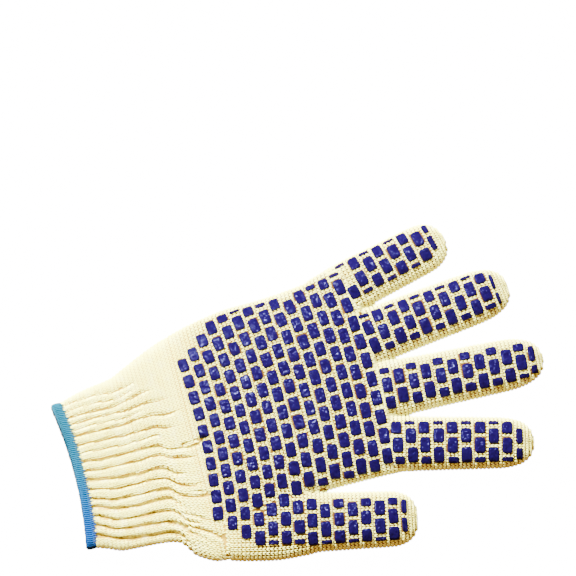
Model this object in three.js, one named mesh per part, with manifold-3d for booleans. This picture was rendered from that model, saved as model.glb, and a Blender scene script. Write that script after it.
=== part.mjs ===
// A seamless knitted cotton work glove for the right hand, lying palm up. Millimetres.
// +X runs from the cuff to the fingertips, +Y to the little finger, +Z up out of the printed palm.
import * as THREE from "three";
import Module from "manifold-3d";

const wasm = await Module();
wasm.setup();

// Driving sizes
const CUFF_LENGTH = 43; // ribbed cuff, from the edging to the wrist
const CUFF_WIDTH = 87;
const PALM_LENGTH = 112.5; // wrist to the roots of the fingers
const PALM_THICKNESS = 16; // the flattened tube, outside to outside
const FINGER_THICKNESS = 13.5;
const THUMB_THICKNESS = 14.5;
const SINK = 0.6; // how far the soft underside settles flat on the table
const WALL = 1.6; // knitted fabric
const CUFF_WALL = 2.2; // from a rib's crest to the inside
const RIB_COUNT = 30;
const RIB_DEPTH = 0.9;
const EDGE_BOW = 3; // the end of the cuff curves in by this at its middle
const EDGING_LENGTH = 3.2; // overlocked thread round the cuff's end
const EDGING_PROUD = 0.5; // how far the thread stands out of the ribs
const JOIN_GAP = 0.3; // between two pieces that meet face to face

// Printed grip blocks: rows run across the hand, and every other row is moved by half a pitch.
const ROW_PITCH = 6.8;
const ROW_GAP = 1.5; // bare knit between two rows
const BLOCK_GAP = 1.9; // bare knit between two blocks of a row
const BLOCK_RISE = 0.8;
const BLOCK_ROOT = 0.8; // how deep a block sits in the fabric
const SHORTEST_BLOCK = 2.4; // a block cut shorter than this by the edge of the print is left off

// Fingers, from the forefinger outwards. They stand side by side, so their widths make up the palm's width.
// forward: how far the root lies beyond the palm's end. rows, pitch: printed rows, and the pitch of the blocks
// in a row. shift: place of the first row's block, as a share of the pitch. low, high: printed half widths as
// shares of the finger's own half width.
const FINGERS = [
  { name: "index_finger", width: 28, length: 65.1, turn: -13.5, forward: 7.6, rows: 9, pitch: 9.6, shift: 0.32, low: 0.74, high: 0.76 },
  { name: "middle_finger", width: 29, length: 76.8, turn: -0.5, forward: 9.2, rows: 10, pitch: 9.3, shift: -0.34, low: 0.78, high: 0.67 },
  { name: "ring_finger", width: 28.7, length: 70.7, turn: 7, forward: 8.1, rows: 10, pitch: 8.8, shift: -0.2, low: 0.71, high: 0.75 },
  { name: "little_finger", width: 27, length: 50, turn: 14, forward: 3.6, rows: 7, pitch: 8.4, shift: 0.08, low: 0.73, high: 0.68 },
];
const THUMB = { name: "thumb", width: 30, length: 49.8, turn: -12.5, rows: 7, pitch: 9.2, shift: 0.49, low: 0.86, high: 0.65 };

const PALM_WIDTH = FINGERS.reduce((sum, finger) => sum + finger.width, 0);
const KNUCKLE_LOW = -0.35 * PALM_WIDTH; // the forefinger's side of the hand, from the glove's axis

// Outline of the cuff: x as a share of its length, edges as shares of its width.
const CUFF_STATIONS = [
  { x: 0, low: -0.462, high: 0.421, thick: 0.75 },
  { x: 0.16, low: -0.485, high: 0.443, thick: 0.76 },
  { x: 0.35, low: -0.508, high: 0.461, thick: 0.78 },
  { x: 0.65, low: -0.515, high: 0.485, thick: 0.8 },
  { x: 0.86, low: -0.523, high: 0.53, thick: 0.82 },
];
// Outline of the palm without the thumb: x as a share of its length, edges as shares of its width.
// pleat: how deep the gathers of the wrist are, as a share of the thickness.
const PALM_STATIONS = [
  { x: 0, low: -0.425, high: 0.434, thick: 0.84, pleat: 0.05 },
  { x: 0.06, low: -0.482, high: 0.46, thick: 0.89, pleat: 0.03 },
  { x: 0.17, low: -0.533, high: 0.499, thick: 0.96, pleat: 0 },
  { x: 0.31, low: -0.538, high: 0.535, thick: 1, pleat: 0 },
  { x: 0.46, low: -0.445, high: 0.557, thick: 1, pleat: 0 },
  { x: 0.6, low: -0.358, high: 0.561, thick: 0.99, pleat: 0 },
  { x: 0.76, low: -0.342, high: 0.58, thick: 0.96, pleat: 0 },
  { x: 1, low: -0.335, high: 0.637, thick: 0.86, pleat: 0 },
];
// Profile of a finger: place as a share of its length, half width and thickness as shares of its own.
// rise: height of the middle, as a share of the thickness. pleat: the flutes of the gathered tip.
const FINGER_PROFILE = [
  { at: -0.4, half: 0.93, thick: 0.98, rise: 0.5, pleat: 0 },
  { at: 0, half: 0.95, thick: 1, rise: 0.5, pleat: 0 },
  { at: 0.35, half: 1, thick: 0.98, rise: 0.49, pleat: 0 },
  { at: 0.75, half: 0.965, thick: 0.92, rise: 0.46, pleat: 0 },
  { at: 0.88, half: 0.85, thick: 0.82, rise: 0.44, pleat: 0.02 },
  { at: 0.94, half: 0.7, thick: 0.68, rise: 0.43, pleat: 0.05 },
  { at: 0.98, half: 0.46, thick: 0.45, rise: 0.42, pleat: 0.08 },
  { at: 1, half: 0.15, thick: 0.18, rise: 0.42, pleat: 0 },
];
// The thumb is the same beyond its root, and widens behind it into the ball of the thumb.
const THUMB_PROFILE = [
  { at: -1.2, half: 0.6, thick: 0.92, rise: 0.46, pleat: 0 },
  { at: -0.93, half: 1.26, thick: 1.02, rise: 0.51, pleat: 0 },
  { at: -0.5, half: 1.26, thick: 1.04, rise: 0.52, pleat: 0 },
  { at: -0.16, half: 1.11, thick: 1.02, rise: 0.51, pleat: 0 },
  { at: 0, half: 1.01, thick: 1, rise: 0.5, pleat: 0 },
  ...FINGER_PROFILE.filter((row) => row.at > 0),
];
// Where the thumb's root lies, as shares of the palm's length and width.
const THUMB_ROOT = { x: 0.625, y: -0.48 };

// Printed rows of the palm: first and last block, and how far the row is moved, as a share of the pitch.
const PALM_ROWS = [
  { from: -5, to: 4, shift: 0.4 },
  { from: -5.5, to: 4.5, shift: 0.32 },
  { from: -6, to: 5, shift: 0.44 },
  { from: -6.5, to: 5.5, shift: 0.5 },
  { from: -6, to: 6, shift: 0.44 },
  { from: -6.5, to: 6.5, shift: 0.28 },
  { from: -6, to: 6, shift: 0.33 },
  { from: -3.5, to: 6.5, shift: 0.13 },
  { from: -3, to: 6, shift: 0.22 },
  { from: -3.5, to: 6.5, shift: 0.23 },
  { from: -3, to: 6, shift: 0.14 },
  { from: -3.5, to: 6.5, shift: 0.16 },
  { from: -3, to: 6, shift: 0.45 },
  { from: -3.5, to: 6.5, shift: 0.43 },
];
const FIRST_ROW = 0.21; // its place, as a share of the palm's length
const PITCH_AT_WRIST = 8.85; // pitch of the blocks in the first row of the palm
const PITCH_GROWTH = 0.087; // what each further row adds to it
const ROW_SAG = 22; // the ends of a palm row lie this much nearer the cuff, over a hand twice as wide
const PRINT_MARGIN_LOW = 5;
const PRINT_MARGIN_HIGH = 3.5;

const HAND_POINTS = 16;
const FINGER_POINTS = 12;
const LINING_POINTS = 12;
const HAND_SQUARENESS = 3; // exponent of the section: 2 is an ellipse, more is squarer
const FINGER_SQUARENESS = 2.5;

// Value of one column of a table at a place between its rows.
function lookUp(table, key, place, column) {
  const after = table.findIndex((row) => row[key] >= place);
  if (after === 0) return table[0][column];
  if (after < 0) return table[table.length - 1][column];
  const before = table[after - 1];
  return THREE.MathUtils.mapLinear(place, before[key], table[after][key], before[column], table[after][column]);
}

const HAND = [
  ...CUFF_STATIONS.map((row) => ({
    x: row.x * CUFF_LENGTH,
    low: row.low * CUFF_WIDTH,
    high: row.high * CUFF_WIDTH,
    thickness: row.thick * PALM_THICKNESS,
    pleat: 0,
  })),
  ...PALM_STATIONS.map((row) => ({
    x: CUFF_LENGTH + row.x * PALM_LENGTH,
    low: row.low * PALM_WIDTH,
    high: row.high * PALM_WIDTH,
    thickness: row.thick * PALM_THICKNESS,
    pleat: row.pleat,
  })),
];
const PALM_END = CUFF_LENGTH + PALM_LENGTH;

function handAt(x) {
  return Object.fromEntries(["low", "high", "thickness", "pleat"].map((key) => [key, lookUp(HAND, "x", x, key)]));
}

// A closed section of a flattened tube in the plane of y and z, anticlockwise seen from +X. inset moves it into
// the wall, and its underside lies flat on the table, or on the inside of the fabric that does.
function section({ low, high, thickness, middle, squareness, count, inset = 0, pleat = 0 }) {
  const centre = (low + high) / 2;
  const half = (high - low) / 2 - inset;
  const halfThickness = thickness / 2 - inset;
  const points = [];
  for (let i = 0; i < count; i++) {
    const angle = (2 * Math.PI * i) / count;
    const shrink = i % 2 ? 1 - pleat : 1;
    const height = Math.pow(1 - Math.pow(Math.abs(Math.cos(angle)), squareness), 1 / squareness);
    const y = centre + half * shrink * Math.cos(angle);
    const z = middle - SINK + halfThickness * shrink * height * Math.sign(Math.round(1e6 * Math.sin(angle)));
    points.push(new THREE.Vector3(0, y, Math.max(z, inset, 0)));
  }
  return points;
}

// The same section with ribs: its points are spread evenly along the fabric, two on each crest and one in each
// groove.
function ribbedSection(sizes, ribDepth) {
  const crest = section({ ...sizes, count: 240 });
  const groove = section({ ...sizes, count: 240, inset: ribDepth });
  const lengths = [0];
  crest.forEach((point, i) => lengths.push(lengths[i] + point.distanceTo(crest[(i + 1) % crest.length])));
  const points = [];
  for (let i = 0; i < 3 * RIB_COUNT; i++) {
    const wanted = (lengths[crest.length] * i) / (3 * RIB_COUNT);
    const step = Math.max(lengths.findIndex((length) => length > wanted) - 1, 0);
    const share = (wanted - lengths[step]) / (lengths[step + 1] - lengths[step]);
    const line = i % 3 ? crest : groove;
    points.push(line[step].clone().lerp(line[(step + 1) % line.length], share));
  }
  return points;
}

// A solid through a row of closed sections, with both ends closed.
function loft(sections) {
  const count = sections[0].length;
  const first = sections[0];
  const last = sections[sections.length - 1];
  const middle = (ring) => ring.reduce((sum, point) => sum.add(point), new THREE.Vector3()).divideScalar(count);
  const points = [...sections.flat(), middle(first), middle(last)];
  const triangles = [];
  for (let i = 0; i < count; i++) {
    const next = (i + 1) % count;
    for (let ring = 0; ring + 1 < sections.length; ring++) {
      const here = ring * count;
      const there = here + count;
      triangles.push(here + i, here + next, there + next, here + i, there + next, there + i);
    }
    const end = (sections.length - 1) * count;
    triangles.push(points.length - 2, next, i, points.length - 1, end + i, end + next);
  }
  return solid(points, triangles);
}

function solid(points, triangles) {
  const vertProperties = new Float32Array(points.flatMap((point) => point.toArray()));
  return new wasm.Manifold(new wasm.Mesh({ numProp: 3, vertProperties, triVerts: new Uint32Array(triangles) }));
}

// Moves a section to its place along the glove. The end of the cuff bows in, which fades towards the wrist.
function standAt(points, x, { low, high }) {
  const bow = EDGE_BOW * THREE.MathUtils.clamp(1 - x / (0.7 * CUFF_LENGTH), 0, 1);
  return points.map((point) => {
    const across = (2 * point.y - low - high) / (high - low);
    return point.clone().setX(x + bow * (1 - across * across));
  });
}

function handSection(x, options) {
  const sizes = { ...handAt(x), squareness: HAND_SQUARENESS, ...options };
  sizes.middle = sizes.thickness / 2;
  const points = options.ribDepth ? ribbedSection(sizes, options.ribDepth) : section(sizes);
  return standAt(points, x, sizes);
}

function handLoft(from, to, options) {
  const places = HAND.map((row) => row.x).filter((x) => x > from + 1 && x < to - 1);
  return loft([from, ...places, to].map((x) => handSection(x, options)));
}

// Fingers and the thumb
FINGERS.forEach((finger, i) => {
  const before = FINGERS.slice(0, i).reduce((sum, other) => sum + other.width, 0);
  finger.root = new THREE.Vector3(PALM_END + finger.forward, KNUCKLE_LOW + before + finger.width / 2, 0);
  finger.thickness = FINGER_THICKNESS;
  finger.profile = FINGER_PROFILE;
});
THUMB.root = new THREE.Vector3(CUFF_LENGTH + THUMB_ROOT.x * PALM_LENGTH, THUMB_ROOT.y * PALM_WIDTH, 0);
THUMB.thickness = THUMB_THICKNESS;
THUMB.profile = THUMB_PROFILE;
const DIGITS = [THUMB, ...FINGERS];

function onHand(digit, point) {
  return point.clone().applyAxisAngle(new THREE.Vector3(0, 0, 1), THREE.MathUtils.degToRad(digit.turn)).add(digit.root);
}

function digitSection(digit, along, options) {
  const at = along / digit.length;
  const value = (column) => lookUp(digit.profile, "at", at, column);
  const half = (value("half") * digit.width) / 2;
  const points = section({
    low: -half,
    high: half,
    thickness: value("thick") * digit.thickness,
    middle: value("rise") * digit.thickness,
    pleat: options.inset ? 0 : value("pleat"),
    squareness: FINGER_SQUARENESS,
    ...options,
  });
  return points.map((point) => onHand(digit, point.setX(along)));
}

// The solid of a finger between two places along it. With an inset, it stops a wall short of the tip.
function digitLoft(digit, from, to, options) {
  const inset = options.inset ?? 0;
  const end = Math.min(to, digit.length - 2 * inset);
  const places = digit.profile.map((row) => row.at * digit.length).filter((along) => along > from + 1 && along < end - 1);
  return loft([from, ...places, end].map((along) => digitSection(digit, along, options)));
}

function digitShell(digit) {
  const outside = digitLoft(digit, 0, digit.length, { count: FINGER_POINTS });
  const inside = digitLoft(digit, -1, digit.length, { count: FINGER_POINTS, inset: WALL });
  return { outside, shell: outside.subtract(inside) };
}

function palmShell() {
  let outside = handLoft(CUFF_LENGTH + JOIN_GAP, PALM_END, { count: HAND_POINTS });
  let inside = handLoft(CUFF_LENGTH - 1, PALM_END - WALL, { count: LINING_POINTS, inset: WALL, pleat: 0 });
  for (const digit of DIGITS) {
    const back = digit.profile[0].at * digit.length;
    outside = outside.add(digitLoft(digit, back, -JOIN_GAP, { count: FINGER_POINTS }));
    inside = inside.add(digitLoft(digit, back + 2 * WALL, 1, { count: LINING_POINTS, inset: WALL }));
  }
  return { outside, shell: outside.subtract(inside) };
}

function cuffShell() {
  const outside = handLoft(0, CUFF_LENGTH, { ribDepth: RIB_DEPTH });
  return outside.subtract(handLoft(-1, CUFF_LENGTH + 1, { count: LINING_POINTS, inset: CUFF_WALL }));
}

function edgingShell() {
  const outside = handLoft(-JOIN_GAP - EDGING_LENGTH, -JOIN_GAP, { count: HAND_POINTS, inset: -EDGING_PROUD });
  const inside = handLoft(-2 - EDGING_LENGTH, 1, { count: LINING_POINTS, inset: CUFF_WALL });
  return outside.subtract(inside);
}

// Height of the upper face of a solid at a place in plan.
function heightOver(body) {
  const mesh = new THREE.Mesh(geometryOf(body), new THREE.MeshBasicMaterial({ side: THREE.DoubleSide }));
  const ray = new THREE.Raycaster();
  const down = new THREE.Vector3(0, 0, -1);
  return (x, y) => {
    ray.set(new THREE.Vector3(x, y, 100), down);
    const hits = ray.intersectObject(mesh);
    return hits.length ? hits[0].point.z : null;
  };
}

// One printed block on four places in plan, anticlockwise seen from above, or null where it would hang over.
function block(corners, height) {
  const heights = corners.map((point) => height(point.x, point.y));
  if (heights.some((z) => z === null || z < PALM_THICKNESS / 3)) return null;
  const foot = corners.map((point, i) => point.clone().setZ(heights[i] - BLOCK_ROOT));
  const top = corners.map((point, i) => point.clone().setZ(heights[i] + BLOCK_RISE));
  const triangles = [0, 2, 1, 0, 3, 2, 4, 5, 6, 4, 6, 7];
  for (let i = 0; i < 4; i++) {
    const next = (i + 1) % 4;
    triangles.push(i, next, next + 4, i, next + 4, i + 4);
  }
  return solid([...foot, ...top], triangles);
}

// Where a palm row crosses a place y: rows sag towards the cuff at both sides of the hand.
function rowAt(row, y) {
  const across = y / PALM_WIDTH;
  return CUFF_LENGTH + FIRST_ROW * PALM_LENGTH + row * ROW_PITCH - ROW_SAG * across * across + across;
}

function palmBlocks(height) {
  const blocks = [];
  PALM_ROWS.forEach(({ from, to, shift }, row) => {
    const pitch = PITCH_AT_WRIST + PITCH_GROWTH * row;
    for (let n = from; n <= to; n++) {
      const y = (n + shift) * pitch;
      const edges = handAt(rowAt(row, y));
      const onThumb = y < edges.low + PRINT_MARGIN_LOW && row < 7;
      const low = Math.max(y - (pitch - BLOCK_GAP) / 2, onThumb ? -Infinity : edges.low + PRINT_MARGIN_LOW);
      const high = Math.min(y + (pitch - BLOCK_GAP) / 2, edges.high - PRINT_MARGIN_HIGH);
      if (high - low < SHORTEST_BLOCK) continue;
      const reach = (ROW_PITCH - ROW_GAP) / 2;
      blocks.push(
        block(
          [
            new THREE.Vector3(rowAt(row, low) - reach, low, 0),
            new THREE.Vector3(rowAt(row, low) + reach, low, 0),
            new THREE.Vector3(rowAt(row, high) + reach, high, 0),
            new THREE.Vector3(rowAt(row, high) - reach, high, 0),
          ],
          height,
        ),
      );
    }
  });
  return blocks.filter(Boolean);
}

// Printed blocks of a finger's rows from..to. Row 0 is the first beyond the root, row -1 lies on the palm.
function digitBlocks(digit, from, to, height) {
  const blocks = [];
  const reach = (ROW_PITCH - ROW_GAP) / 2;
  for (let row = from; row < to; row++) {
    const along = (row + 0.5) * ROW_PITCH;
    const half = (lookUp(digit.profile, "at", along / digit.length, "half") * digit.width) / 2;
    for (let n = -2; n <= 2; n++) {
      const across = (n + digit.shift + (row % 2 ? 0.5 : 0)) * digit.pitch;
      const low = Math.max(across - (digit.pitch - BLOCK_GAP) / 2, -digit.low * half);
      const high = Math.min(across + (digit.pitch - BLOCK_GAP) / 2, digit.high * half);
      if (high - low < SHORTEST_BLOCK) continue;
      const corners = [
        [along - reach, low],
        [along + reach, low],
        [along + reach, high],
        [along - reach, high],
      ];
      blocks.push(block(corners.map(([x, y]) => onHand(digit, new THREE.Vector3(x, y, 0))), height));
    }
  }
  return blocks.filter(Boolean);
}

function geometryOf(body) {
  const mesh = body.getMesh();
  const geometry = new THREE.BufferGeometry();
  geometry.setAttribute("position", new THREE.BufferAttribute(mesh.vertProperties, 3));
  geometry.setIndex(new THREE.BufferAttribute(mesh.triVerts, 1));
  geometry.userData.runs = Array.from(mesh.runOriginalID, (id, i) => ({
    id,
    start: mesh.runIndex[i],
    count: mesh.runIndex[i + 1] - mesh.runIndex[i],
  }));
  return geometry;
}

const COTTON = new THREE.MeshStandardMaterial({ color: 0xf2e6bd, roughness: 0.95, flatShading: true });
const PRINT = new THREE.MeshStandardMaterial({ color: 0x20188c, roughness: 0.3, flatShading: true });
const THREAD = new THREE.MeshStandardMaterial({ color: 0x4bb0cc, roughness: 0.8, flatShading: true });

const glove = new THREE.Group();
glove.name = "work_glove";

function addPiece(name, body, material, blocks = []) {
  const printed = new Set(blocks.map((one) => one.originalID()));
  const whole = blocks.reduce((sum, one) => sum.add(one), body);
  const geometry = geometryOf(whole);
  geometry.userData.runs.forEach(({ id, start, count }) => geometry.addGroup(start, count, printed.has(id) ? 1 : 0));
  geometry.computeVertexNormals();
  const mesh = new THREE.Mesh(geometry, blocks.length ? [material, PRINT] : material);
  mesh.name = name;
  glove.add(mesh);
}

const palm = palmShell();
const overPalm = heightOver(palm.outside);
const rootBlocks = DIGITS.flatMap((digit) => digitBlocks(digit, -1, 0, overPalm));
addPiece("palm", palm.shell, COTTON, [...palmBlocks(overPalm), ...rootBlocks]);
for (const digit of DIGITS) {
  const { outside, shell } = digitShell(digit);
  addPiece(digit.name, shell, COTTON, digitBlocks(digit, 0, digit.rows, heightOver(outside)));
}
addPiece("rib_cuff", cuffShell(), COTTON);
addPiece("cuff_edging", edgingShell(), THREAD);

// The origin goes to the middle of the underside.
const bounds = new THREE.Box3().setFromObject(glove);
const centre = bounds.getCenter(new THREE.Vector3());
glove.position.set(-centre.x, -centre.y, -bounds.min.z);

export default glove;
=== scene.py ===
"""A knitted cotton work glove with printed grip blocks, dressed over its CAD frame.

Shapes are worked out in glove millimetres, as in the part: x from the cuff's end to the fingertips,
y from the glove's axis to the little finger, z up out of the printed palm. to_frame() puts them in
Blender's metres.
"""

import math

import bpy
import numpy as np
from bpy.props import FloatProperty, FloatVectorProperty, IntProperty, PointerProperty
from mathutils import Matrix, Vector
from mathutils.bvhtree import BVHTree


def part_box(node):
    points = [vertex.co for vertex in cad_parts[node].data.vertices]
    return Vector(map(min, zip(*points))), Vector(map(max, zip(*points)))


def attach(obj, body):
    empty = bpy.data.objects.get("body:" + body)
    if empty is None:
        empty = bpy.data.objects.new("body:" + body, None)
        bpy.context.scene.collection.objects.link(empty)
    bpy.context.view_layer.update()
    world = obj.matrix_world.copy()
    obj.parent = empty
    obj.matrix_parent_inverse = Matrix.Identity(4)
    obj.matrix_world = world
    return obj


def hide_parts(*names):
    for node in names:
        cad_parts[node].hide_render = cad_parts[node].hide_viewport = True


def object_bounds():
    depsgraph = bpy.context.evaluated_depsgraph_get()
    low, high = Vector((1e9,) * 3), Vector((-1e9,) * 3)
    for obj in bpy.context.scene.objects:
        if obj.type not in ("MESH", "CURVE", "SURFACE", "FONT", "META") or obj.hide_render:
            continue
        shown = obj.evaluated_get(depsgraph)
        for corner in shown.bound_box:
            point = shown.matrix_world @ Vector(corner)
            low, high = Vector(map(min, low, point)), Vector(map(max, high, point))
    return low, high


bl_info = {
    "name": "Knitted Work Glove",
    "version": (1, 0, 0),
    "blender": (4, 5, 0),
    "location": "View3D > Sidebar > Work Glove",
    "description": "Knits, prints and edges a cotton work glove over its CAD frame",
    "category": "Add Mesh",
}

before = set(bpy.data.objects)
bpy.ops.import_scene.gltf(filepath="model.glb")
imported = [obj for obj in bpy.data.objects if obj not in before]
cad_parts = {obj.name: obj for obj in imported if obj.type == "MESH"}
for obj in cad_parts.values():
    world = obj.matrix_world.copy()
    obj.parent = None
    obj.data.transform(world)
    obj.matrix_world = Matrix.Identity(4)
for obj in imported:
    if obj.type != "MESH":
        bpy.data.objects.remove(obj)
CAD_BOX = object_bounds()

# Driving sizes of the glove, in millimetres, as in the part
CUFF_LENGTH = 43.0
CUFF_WIDTH = 87.0
PALM_LENGTH = 112.5
PALM_THICKNESS = 16.0
FINGER_THICKNESS = 13.5
THUMB_THICKNESS = 14.5
SINK = 0.6
WALL = 1.6
EDGE_BOW = 3.0
HAND_SQUARENESS = 3.0
FINGER_SQUARENESS = 2.5
EDGING_LENGTH = 3.5
STITCH_BED = 0.45  # the skin lies this deep under the glove's outside, and the stitches stand on it

# Each finger's width and length, its turn in degrees, how far its root lies before the palm's end,
# and how much slimmer it lies than its width. Then its print: pitch of a row's blocks, their shift
# and the further shift of every other row as shares of it, the tangent of the print's turn against
# the finger, reach to each side as a share of the half width, distance between rows, how far row 0
# lies along the finger, the bare tip, how far rows lean at the root, and the first row, which may
# lie in the palm
FINGERS = {
    "index_finger": dict(
        width=28, length=65.1, turn=-13.2, forward=7.6, slim=0.965,
        pitch=9.6, shift=0.31, stagger=0.5, slant=-0.012,
        low=0.8, high=0.75, row=6.85, lead=0.2, tip=6.0, lean=0.1, first=-1,
    ),
    "middle_finger": dict(
        width=29, length=76.6, turn=-1.8, forward=9.2, slim=0.945,
        pitch=9.7, shift=-0.5, stagger=0.62, slant=-0.037,
        low=0.75, high=0.71, row=6.8, lead=0.55, tip=4.2, lean=0.0, first=0,
    ),
    "ring_finger": dict(
        width=28.7, length=70.3, turn=7.2, forward=8.1, slim=0.97,
        pitch=9.5, shift=-0.12, stagger=0.5, slant=0.0,
        low=0.72, high=0.78, row=6.8, lead=0.05, tip=6.4, lean=0.0, first=0,
    ),
    "little_finger": dict(
        width=27, length=50.4, turn=14, forward=3.6, slim=0.97,
        pitch=9.4, shift=-0.05, stagger=0.5, slant=0.0,
        low=0.6, high=0.84, row=6.82, lead=0.3, tip=5.6, lean=0.0, first=0,
    ),
}
THUMB = dict(
    width=30, length=48.5, turn=-11.3, slim=0.975,
    pitch=9.2, shift=0.45, stagger=0.5, slant=0.022,
    low=0.8, high=0.69, row=6.73, lead=-1.0, tip=5.6, lean=0.0, first=-1,
)
PALM_WIDTH = sum(finger["width"] for finger in FINGERS.values())
KNUCKLE_LOW = -0.35 * PALM_WIDTH
PALM_END = CUFF_LENGTH + PALM_LENGTH
THUMB_ROOT = (CUFF_LENGTH + 0.625 * PALM_LENGTH, -0.48 * PALM_WIDTH)

# Outline of the hand without the thumb: share of the cuff's or the palm's length, edges as shares
# of its width, and thickness as a share of the palm's
CUFF_STATIONS = (
    dict(x=0, low=-0.446, high=0.413, thick=0.75),
    dict(x=0.16, low=-0.474, high=0.438, thick=0.76),
    dict(x=0.35, low=-0.508, high=0.461, thick=0.78),
    dict(x=0.65, low=-0.515, high=0.485, thick=0.80),
    dict(x=0.86, low=-0.523, high=0.53, thick=0.82),
)
PALM_STATIONS = (
    dict(x=0, low=-0.419, high=0.434, thick=0.84),
    dict(x=0.06, low=-0.496, high=0.46, thick=0.89),
    dict(x=0.17, low=-0.546, high=0.499, thick=0.96),
    dict(x=0.31, low=-0.538, high=0.535, thick=1),
    dict(x=0.46, low=-0.445, high=0.557, thick=1),
    dict(x=0.6, low=-0.358, high=0.561, thick=0.99),
    dict(x=0.76, low=-0.348, high=0.576, thick=0.96),
    dict(x=1, low=-0.346, high=0.624, thick=0.86),
)
# Profile of a finger: shares of its length, half width and thickness, and the height of its middle
FINGER_PROFILE = (
    dict(at=-0.4, half=0.93, thick=0.98, rise=0.5),
    dict(at=0, half=1.0, thick=1, rise=0.5),
    dict(at=0.1, half=1.0, thick=1, rise=0.5),
    dict(at=0.35, half=1, thick=0.98, rise=0.49),
    dict(at=0.75, half=0.965, thick=0.92, rise=0.46),
    dict(at=0.88, half=0.85, thick=0.82, rise=0.44),
    dict(at=0.94, half=0.7, thick=0.68, rise=0.43),
    dict(at=0.98, half=0.46, thick=0.45, rise=0.42),
    dict(at=1, half=0.12, thick=0.14, rise=0.42),
)
THUMB_PROFILE = (
    dict(at=-1.05, half=0.75, thick=0.94, rise=0.47),
    dict(at=-0.93, half=1.18, thick=1.02, rise=0.51),
    dict(at=-0.5, half=1.24, thick=1.04, rise=0.52),
    dict(at=-0.16, half=1.11, thick=1.02, rise=0.51),
    dict(at=0, half=1.01, thick=1, rise=0.5),
) + FINGER_PROFILE[3:]

# Printed rows of the palm: first and last block, how far the row is moved, as a share of the pitch,
# and how much its thumb side is stretched
PALM_ROWS = (
    dict(first=-5, last=4, shift=0.4, stretch=0.965),
    dict(first=-5.5, last=4.5, shift=0.32, stretch=0.985),
    dict(first=-6, last=5, shift=0.44, stretch=1.035),
    dict(first=-6.5, last=5.5, shift=0.5, stretch=1.035),
    dict(first=-7, last=6, shift=0.44, stretch=1.045),
    dict(first=-6.5, last=6.5, shift=0.28, stretch=1.035),
    dict(first=-7, last=6, shift=0.33, stretch=1.05),
    dict(first=-3.5, last=6.5, shift=0.13, stretch=1.04),
    dict(first=-4, last=6, shift=0.22, stretch=1.04),
    dict(first=-4.5, last=6.5, shift=0.23, stretch=1.02),
    dict(first=-4, last=6, shift=0.14, stretch=1.0),
    dict(first=-4.5, last=6.5, shift=0.16, stretch=1.0),
    dict(first=-5, last=6, shift=0.45, stretch=1.0),
    dict(first=-4.5, last=6.5, shift=0.43, stretch=1.0),
)
FIRST_ROW = 0.2153
PITCH_AT_WRIST = 8.74
PITCH_GROWTH = 0.087
ROW_MILLIMETRES = 6.76
ROW_SAG = 22.0  # how far a row falls back towards the thumb's side
ROW_SAG_LITTLE = 18.0  # and towards the little finger's
PRINT_MARGIN_LOW = 2.4
THUMB_ROWS = 7  # rows of the palm that run on over the ball of the thumb
THUMB_PRINT = 11.8  # where they end, from the thumb's axis
PRINT_MARGIN_HIGH = 3.0
BLOCK_POINTS = 28
# Rings of a block from its foot to its middle: size and height, as shares
BLOCK_RINGS = ((1.0, -0.45), (1.02, 0.35), (0.97, 0.78), (0.86, 0.97), (0.62, 1.0), (0.32, 0.99))
BLOCK_DROOP = 1.9  # how far a block's foot may hang under its middle

# Grooves between the ribs of the cuff: share of the width, from the little finger's side, at the
# cuff's end, at its middle and at the wrist, how far they reach along the glove, and their strength
GROOVES = (
    dict(end=0.03, middle=0.07, wrist=0.12, reach=40, strength=0.35),
    dict(end=0.078, middle=0.115, wrist=0.155, reach=38, strength=0.3),
    dict(end=0.127, middle=0.158, wrist=0.19, reach=44, strength=0.6),
    dict(end=0.172, middle=0.2, wrist=0.25, reach=52, strength=0.5),
    dict(end=0.215, middle=0.24, wrist=0.285, reach=40, strength=0.25),
    dict(end=0.256, middle=0.28, wrist=0.32, reach=56, strength=0.55),
    dict(end=0.317, middle=0.343, wrist=0.385, reach=53, strength=0.5),
    dict(end=0.377, middle=0.395, wrist=0.435, reach=46, strength=0.3),
    dict(end=0.437, middle=0.45, wrist=0.488, reach=66, strength=0.7),
    dict(end=0.497, middle=0.512, wrist=0.536, reach=58, strength=0.5),
    dict(end=0.558, middle=0.582, wrist=0.61, reach=50, strength=0.95),
    dict(end=0.624, middle=0.642, wrist=0.664, reach=57, strength=0.5),
    dict(end=0.684, middle=0.708, wrist=0.72, reach=62, strength=0.7),
    dict(end=0.738, middle=0.767, wrist=0.775, reach=47, strength=0.95),
    dict(end=0.805, middle=0.832, wrist=0.842, reach=52, strength=0.7),
    dict(end=0.863, middle=0.89, wrist=0.9, reach=50, strength=0.9),
    dict(end=0.928, middle=0.95, wrist=0.962, reach=45, strength=1.2),
)

# Folds at the wrist, in plan: where each starts and ends, how far it bends, its depth and half width
WRIST_FOLDS = (
    dict(start=(38, -37.0), end=(69, -56.0), bend=2.0, depth=1.5, width=1.0),
    dict(start=(43, -33.0), end=(63, -44.0), bend=1.2, depth=0.8, width=0.9),
    dict(start=(47, -43.5), end=(62, -56.5), bend=0.8, depth=0.5, width=0.8),
    dict(start=(49, -48.0), end=(58, -57.0), bend=0.5, depth=0.3, width=0.7),
    dict(start=(52, -23.5), end=(66, -29.5), bend=0.4, depth=0.7, width=0.7),
    dict(start=(54, -0.5), end=(70, 0.5), bend=0.3, depth=0.9, width=0.7),
)

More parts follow.
